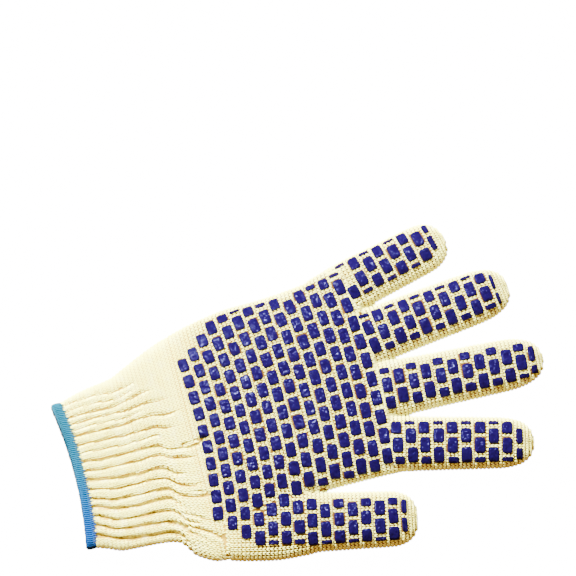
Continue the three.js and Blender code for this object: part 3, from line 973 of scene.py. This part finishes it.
class EdgingSettings(bpy.types.PropertyGroup):
    thread: length("Thread", "Diameter of the overlock thread", 0.0010)
    pitch: length("Loop pitch", "Distance between two loops of thread", 0.00095)
    top: colour("Turquoise", "Colour at the little finger's side", (0.001, 0.06, 0.12))
    bottom: colour("Blue", "Colour at the thumb's side", (0.001, 0.036, 0.19))


class StageSettings(bpy.types.PropertyGroup):
    azimuth: angle("Azimuth", "Camera's turn about the glove", -14)
    elevation: angle("Elevation", "Camera's height over the table, as an angle", 78)
    width: length("View width", "Width of table that the picture takes in", 0.288)
    distance: length("Distance", "Camera to glove, far off as for a flat product shot", 9.0)


# Operators


def add_light(row, look_at, up, right):
    """A soft round lamp that lights the cloth, or one that only shows as a glint in the vinyl."""
    lamp = bpy.data.lights.new(row["name"], "AREA")
    lamp.energy = row["watts"]
    lamp.shape = "DISK"
    lamp.size = row["size"]
    lamp.color = row["colour"]
    light = bpy.data.objects.new(row["name"], lamp)
    light.location = look_at + up * row["up"] + right * row["right"] + Vector((0, 0, row["over"]))
    light.rotation_euler = (look_at - light.location).to_track_quat("-Z", "Y").to_euler()
    light.visible_glossy = row["name"] == "glint"
    light.visible_diffuse = not light.visible_glossy
    bpy.context.scene.collection.objects.link(light)


class GLOVE_OT_stage(bpy.types.Operator):
    """Lay the white table and set the camera and the studio light"""

    bl_idname = "glove.stage"
    bl_label = "Table, Camera and Light"

    def execute(self, context):
        settings = context.scene.glove_stage
        scene = context.scene
        look_at = Vector(to_frame([VIEW_CENTRE])[0])
        turn, tilt = settings.azimuth, settings.elevation
        back = Vector((math.sin(turn) * math.cos(tilt), -math.cos(turn) * math.cos(tilt), math.sin(tilt)))
        lens = bpy.data.cameras.new("camera")
        lens.sensor_width = 36
        lens.lens = 36 * settings.distance / settings.width
        lens.clip_end = 40
        camera = bpy.data.objects.new("camera", lens)
        camera.location = look_at + back * settings.distance
        camera.rotation_euler = back.to_track_quat("Z", "Y").to_euler()
        scene.collection.objects.link(camera)
        scene.camera = camera

        right = Vector((math.cos(turn), math.sin(turn), 0))
        up = Vector((-math.sin(turn), math.cos(turn), 0))
        for row in LAMPS:
            add_light(row, look_at, up, right)

        world = bpy.data.worlds.new("studio")
        scene.world = world
        world.use_nodes = True
        world.node_tree.nodes["Background"].inputs["Color"].default_value = WORLD_COLOUR
        world.node_tree.nodes["Background"].inputs["Strength"].default_value = WORLD_STRENGTH

        floor = bpy.data.meshes.new("table")
        corners = [(x * TABLE_HALF, y * TABLE_HALF, 0) for x, y in ((-1, -1), (1, -1), (1, 1), (-1, 1))]
        floor.from_pydata(corners, [], [(0, 1, 2, 3)])
        table = bpy.data.objects.new("table", floor)
        scene.collection.objects.link(table)
        material, nodes, links, paint = shader("white_table")
        tone = noise(nodes, links, 3.0)
        colours = ramp(nodes, links, tone.outputs["Fac"], ((0.0, (0.3, 0.3, 0.3)), (1.0, (0.35, 0.35, 0.35))))
        links.new(colours.outputs["Color"], paint.inputs["Base Color"])
        paint.inputs["Roughness"].default_value = 0.9
        paint.inputs["Emission Color"].default_value = (1, 1, 1, 1)
        paint.inputs["Emission Strength"].default_value = TABLE_GLOW
        table.visible_diffuse = False
        table.visible_glossy = False
        floor.materials.append(material)
        return {"FINISHED"}


class GLOVE_OT_skin(bpy.types.Operator):
    """Make the skin of the hand and the ribbed cuff, with its lining, for the stitches to stand on"""

    bl_idname = "glove.skin"
    bl_label = "Skin and Lining"

    def execute(self, context):
        settings = context.scene.glove_knit
        # painted shade under the hand's stitches: golden at the wrist, dark over the hand
        shade = hand_cotton_painted_shade(settings.shade, settings.groove)
        # painted shade for the ribs' skin: the golden groove colour, in blotches darkened towards the painted
        # shade between stitches
        deeper_groove_shade = mixed(settings.groove, settings.shade, 0.4)
        groove = cotton_yarn("cotton_painted_shade_between_ribs", settings.groove, deeper_groove_shade)
        # the lining is warm cotton with blotches of the painted shade colour, so the glove's inside is
        # darkened with painted shade
        lining = cotton_yarn("cotton_lining_painted_shade", settings.warm, settings.shade)

        bed = STITCH_BED
        bodies = [closed_loft(hand_grid(np.arange(SKIN_START, PALM_END + 4, 2.5), bed))]
        for digit in DIGITS.values():
            back = digit["profile"][0]["at"] * digit["length"]
            tip = digit["length"] * np.array([0.88, 0.91, 0.935, 0.955, 0.97, 0.982, 0.991, 0.996])
            along = np.concatenate([np.arange(back, digit["length"] * 0.86, 2.5), tip])
            bodies.append(closed_loft(digit_grid(digit, along, bed, flutes=0.09)))
        outer = remeshed(bodies, 0.95, 6)
        x, y, z = outer[0].T
        folds = rib_groove(x, y, settings) + wrist_puckers(x, y)
        z -= folds * np.clip((z - 5) / 4, 0, 1) * (x < 80)
        SHARED["hand"] = bvh_of(*outer)
        centre = outer[0][outer[1]].mean(axis=1)
        outer = used_only(outer[0], outer[1][centre[:, 0] > SKIN_EDGE])

        x = np.arange(-2.6, RIBS_END + 0.1, 0.7)
        ribbed, ribbed_faces = self.ribbed(x, settings)
        cuff_faces = ribbed_faces[ribbed[ribbed_faces[:, 0], 0] < CUFF_LENGTH]
        base_faces = ribbed_faces[ribbed[ribbed_faces[:, 0], 0] >= CUFF_LENGTH]
        SHARED["ribbed"] = bvh_of(ribbed, ribbed_faces)

        inner = hand_grid(np.arange(-2.6, RIBS_END, 3.0), WALL + bed, around=90)
        sleeve = (inner.reshape(-1, 3), grid_faces(len(inner), 90)[:, ::-1])
        deep = [closed_loft(hand_grid(np.arange(58, PALM_END - WALL, 3.0), WALL + bed, around=90))]
        for digit in DIGITS.values():
            back = digit["profile"][0]["at"] * digit["length"]
            along = np.arange(back + 3, digit["length"] * 0.94, 3.0)
            deep.append(closed_loft(digit_grid(digit, along, WALL + bed, around=40)))
        pocket = remeshed(deep, 2.2, 3)
        centre = pocket[0][pocket[1]].mean(axis=1)
        pocket = used_only(pocket[0], pocket[1][centre[:, 0] > 61][:, ::-1])

        # the wrist's and the cuff's skins carry the painted golden shade of the grooves
        mesh_piece("wrist_skin", *used_only(ribbed, base_faces), groove, "cotton_knit")
        # the hand's skin carries the painted shade that shows through the open knit
        mesh_piece("hand_skin", *outer, shade, "cotton_knit", replaces=("palm", "thumb", *FINGERS))
        mesh_piece("hand_lining", *pocket, lining, "cotton_knit")
        mesh_piece("cuff_skin", *used_only(ribbed, cuff_faces), groove, "cotton_knit", replaces=("rib_cuff",))
        mesh_piece("cuff_lining", *sleeve, lining, "cotton_knit")
        return {"FINISHED"}

    def ribbed(self, x, settings):
        """The outside of the cuff and the base of the palm, with the grooves between the ribs."""
        around = 6 * settings.wales_over_cuff
        lines = hand_lines(x, STITCH_BED)
        lengths = arc_lengths(lines)
        half_way = lines.shape[1] // 2
        top_arc, whole = lengths[:, half_way : half_way + 1], lengths[:, -1:]
        place = whole * np.arange(around)[None, :] / around
        points = bowed(x, at_arc(lines, lengths, place))
        groove = rib_groove(x[:, None], points[..., 1], settings)
        groove += wrist_puckers(points[..., 0], points[..., 1]) * (place <= top_arc)
        aside = points[..., 1].mean(1, keepdims=True) - points[..., 1]
        inwards = np.stack([np.zeros_like(aside), aside, -(points[..., 2] - 6.0) * 8], axis=2)
        inwards /= np.linalg.norm(inwards, axis=2, keepdims=True) + 1e-9
        points = points + inwards * groove[..., None]
        points[..., 2] = points[..., 2].clip(0.3)
        sunk = np.clip((x - RIBS_SINK) / 4, 0, 1)[:, None]
        points = points + inwards * (0.5 * sunk)[..., None]
        return points.reshape(-1, 3), grid_faces(len(x), around)


class GLOVE_OT_stitches(bpy.types.Operator):
    """Knit the glove: two legs of yarn for each stitch of the cuff, the hand and the fingers"""

    bl_idname = "glove.stitches"
    bl_label = "Stitches"

    def execute(self, context):
        settings = context.scene.glove_knit
        yarn = cotton_yarn("cotton_yarn", settings.light, settings.warm)
        plans = SHARED["plans"]
        course = settings.course * 1000
        thumb_along = np.linspace(THUMB["profile"][0]["at"] * THUMB["length"], THUMB["length"], 50)
        thumb_tree = bvh_of(*closed_loft(digit_grid(THUMB, thumb_along, 0.0)))
        palm_tree = bvh_of(*closed_loft(hand_grid(np.arange(40, PALM_END, 3.0), 0.0)))

        x = np.arange(0.4, PALM_END + 11, course)
        for side in hand_stitch_places(x, settings):
            points, valid = side["points"], side["valid"]
            along = frames_of(points, valid)
            flat = points[valid]
            pitch = np.broadcast_to(side["pitch"][:, None], valid.shape)[valid]
            x_flat, y_flat = flat[:, 0], flat[:, 1]
            groove = rib_groove(x_flat, y_flat, settings) + wrist_puckers(x_flat, y_flat) * side["top"]
            keep = ~self.beyond_palm(flat)
            on_cuff = x_flat < CUFF_LENGTH
            at_wrist = ~on_cuff & (x_flat < WRIST_END)
            face = "upper" if side["top"] else "under"
            near = np.array([not inside(thumb_tree, p) for p in flat[keep]])
            chosen = np.flatnonzero(keep)[near]
            shown = plans if side["top"] else ()
            for part, mask in (("cuff", on_cuff), ("wrist", at_wrist), ("palm", ~on_cuff & ~at_wrist)):
                which = chosen[mask[chosen]]
                seats = (flat[which], along[which], pitch[which], groove[which])
                self.knit(f"{part}_{face}_stitches", seats, yarn, settings, shown, ribbed=part != "palm")

        for name, digit in DIGITS.items():
            first = -49.0 if name == "thumb" else -10.0
            steps = even_steps(digit, first, course)
            lines = digit_lines(digit, steps)
            lengths = arc_lengths(lines)
            count = int(round(lengths[np.argmin(np.abs(steps)), -1] / (settings.wale_pitch * 1000)))
            share = (np.arange(count) + 0.5) / count
            grid = at_arc(lines, lengths, lengths[:, -1:] * share)
            place = np.broadcast_to(steps[:, None, None], grid.shape[:2] + (1,))
            points = on_hand(digit, np.concatenate([place, grid], axis=2))
            valid = np.ones(points.shape[:2], bool)
            along = frames_of(points, valid)
            pitch = np.broadcast_to(lengths[:, -1:] / count, valid.shape)[valid]
            flat = points[valid]
            local = np.broadcast_to(steps[:, None], valid.shape)[valid]
            behind = local < (0 if name == "thumb" else -4.0)
            keep = np.array([not (b and inside(palm_tree, p)) for b, p in zip(behind, flat)])
            which = np.flatnonzero(keep)
            seats = (flat[which], along[which], pitch[which], np.zeros(len(which)))
            self.knit(f"{name}_stitches", seats, yarn, settings, plans, ribbed=False)
        return {"FINISHED"}

    def beyond_palm(self, points):
        """Places that belong to a finger's own stitches."""
        beyond = np.zeros(len(points), bool)
        for digit in FINGERS.values():
            along, across = on_digit(digit, points)
            beyond |= (along > -4.0) & (np.abs(across) < digit_half(digit, along) - 1.2)
        along, across = on_digit(THUMB, points)
        return beyond | ((along > 0) & (np.abs(across) < THUMB["width"] / 2 + 1.0))

    def knit(self, name, seats, yarn, settings, plans, ribbed):
        """One piece of knit from places, directions along the wale, pitches and depths of groove."""
        points, along, pitch, groove = seats
        deepest = 3.4 if ribbed else 2.6
        skin = SHARED["ribbed"] if ribbed else SHARED["hand"]
        seated = seat_stitches(points, along, pitch, skin, 0.25 * groove, deepest)
        place, forward, side, normal, across = seated
        fullness = np.clip((FULL_YARN_END - place[:, 0]) / FULL_YARN_FADE, 0, 1)
        upper = normal[:, 2] > 0
        hidden = under_blocks(place, plans) & upper if len(plans) else np.zeros(len(place), bool)
        show = ~hidden
        axes = (place[show], forward[show], side[show], normal[show])
        course, height = settings.course * 1000, settings.height * 1000
        points, faces = stitch_mesh(*axes, course, across[show], height, fullness[show])
        mesh_piece(name, points, faces, yarn, "cotton_knit")


class GLOVE_OT_print(bpy.types.Operator):
    """Print the raised vinyl blocks on the palm and the fingers"""

    bl_idname = "glove.print"
    bl_label = "Grip Blocks"

    def execute(self, context):
        settings = context.scene.glove_print
        vinyl = soft_vinyl(tuple(settings.colour))
        palm, fingers = [], []
        for digit in DIGITS.values():
            fingers += digit_block_plan(digit, digit["first"], 20, settings)
        for plan in palm_block_plan(settings):
            if not any(overlap(plan, other) for other in fingers):
                palm.append(plan)
        for digit in DIGITS.values():
            for plan in digit_block_plan(digit, digit["first"] - 1, digit["first"], settings):
                if not any(overlap(plan, other) for other in palm + fingers):
                    palm.append(plan)
        SHARED["plans"] = palm + fingers
        mesh_piece("palm_print", *block_mesh(palm, SHARED["hand"], settings), vinyl, "grip_print")
        mesh_piece("finger_print", *block_mesh(fingers, SHARED["hand"], settings), vinyl, "grip_print")
        return {"FINISHED"}


class GLOVE_OT_edging(bpy.types.Operator):
    """Overlock the end of the cuff with turquoise thread"""

    bl_idname = "glove.edging"
    bl_label = "Overlocked Edge"

    def execute(self, context):
        settings = context.scene.glove_edging
        thread = overlock_thread(tuple(settings.top), tuple(settings.bottom))
        radius = settings.thread * 500
        middle = WALL / 2 + 0.3
        lines = hand_lines(np.zeros(1), middle)
        whole = arc_lengths(lines)[0, -1]
        count = int(whole / (settings.pitch * 1000))
        share = np.arange(count) / count
        loops = []
        for i, (at, rise) in enumerate(LOOP_PATH):
            reach = np.where(np.arange(count) % 2, 0.9, 0.0) if i == 0 else np.zeros(count)
            line = hand_lines(np.array([at]), middle - rise)
            lengths = arc_lengths(line)
            lean = 0.9 / whole * (0.5 - i / (len(LOOP_PATH) - 1))
            points = at_arc(line, lengths, lengths[:, -1:] * ((share + lean) % 1))
            place = bowed(np.array([at]), points)[0]
            place[:, 0] += reach + RANDOM.normal(0, 0.08, count)
            loops.append(place)
        paths = np.stack(loops, axis=1)
        body = tubes(paths, radius)
        mesh_piece("edging_loops", *body, thread, "edge_thread", replaces=("cuff_edging",))
        core = []
        around = np.arange(CORE_POINTS)
        for at, rise in CORE_PATH:
            line = hand_lines(np.array([at]), middle - rise)
            lengths = arc_lengths(line)
            points = at_arc(line, lengths, lengths[:, -1:] * around / CORE_POINTS)
            core.append(bowed(np.array([at]), points)[0])
        grid = np.array(core)
        last = (len(core) - 1) * CORE_POINTS
        beside = (around + 1) % CORE_POINTS
        closing = np.stack([last + around, last + beside, beside, around], axis=1)
        faces = np.concatenate([grid_faces(len(core), CORE_POINTS), closing])[:, ::-1]
        mesh_piece("edging_core", grid.reshape(-1, 3), faces, thread, "edge_thread")
        return {"FINISHED"}


def tubes(paths, radius, sides=6):
    """Round threads along many paths of the same number of points: (threads, points, 3)."""
    along = np.gradient(paths, axis=1)
    along /= np.linalg.norm(along, axis=2, keepdims=True)
    reference = np.array([0.0, 0.35, 0.94])
    side = np.cross(along, reference)
    side /= np.linalg.norm(side, axis=2, keepdims=True) + 1e-9
    over = np.cross(side, along)
    angle = 2 * np.pi * np.arange(sides) / sides
    taper = np.ones(paths.shape[1])
    taper[0] = taper[-1] = 0.55
    cosine, sine = np.cos(angle)[None, None, :, None], np.sin(angle)[None, None, :, None]
    ring = side[:, :, None] * cosine + over[:, :, None] * sine
    points = paths[:, :, None] + ring * radius * taper[None, :, None, None]
    rows = paths.shape[1]
    quads = grid_faces(rows, sides)
    caps = [np.arange(sides)[[0, 1, 2, 3]], np.arange(sides)[[0, 3, 4, 5]]]
    ends = [(rows - 1) * sides + cap[::-1] for cap in caps]
    one = np.concatenate([quads, np.array(caps), np.array(ends)])
    faces = (one[None] + np.arange(len(paths))[:, None, None] * rows * sides).reshape(-1, 4)
    return points.reshape(-1, 3), faces


class GLOVE_PT_panel(bpy.types.Panel):
    """Steps that make the glove"""

    bl_idname = "GLOVE_PT_panel"
    bl_label = "Work Glove"
    bl_space_type = "VIEW_3D"
    bl_region_type = "UI"
    bl_category = "Work Glove"

    def draw(self, context):
        layout = self.layout
        for name in ("glove_stage", "glove_knit", "glove_print", "glove_edging"):
            box = layout.box()
            settings = getattr(context.scene, name)
            for key in settings.__annotations__:
                box.prop(settings, key)
        for operator in STEPS:
            layout.operator(operator.bl_idname)


SETTINGS = {
    "glove_knit": KnitSettings,
    "glove_print": PrintSettings,
    "glove_edging": EdgingSettings,
    "glove_stage": StageSettings,
}
STEPS = (GLOVE_OT_stage, GLOVE_OT_skin, GLOVE_OT_print, GLOVE_OT_stitches, GLOVE_OT_edging)


def register():
    for group in SETTINGS.values():
        bpy.utils.register_class(group)
    for name, group in SETTINGS.items():
        setattr(bpy.types.Scene, name, PointerProperty(type=group))
    for step in STEPS:
        bpy.utils.register_class(step)
    bpy.utils.register_class(GLOVE_PT_panel)


def unregister():
    bpy.utils.unregister_class(GLOVE_PT_panel)
    for step in reversed(STEPS):
        bpy.utils.unregister_class(step)
    for name, group in SETTINGS.items():
        delattr(bpy.types.Scene, name)
        bpy.utils.unregister_class(group)


def main():
    register()
    bpy.ops.glove.stage()
    bpy.ops.glove.skin()
    bpy.ops.glove.print()
    bpy.ops.glove.stitches()
    bpy.ops.glove.edging()


if __name__ == "__main__":
    main()
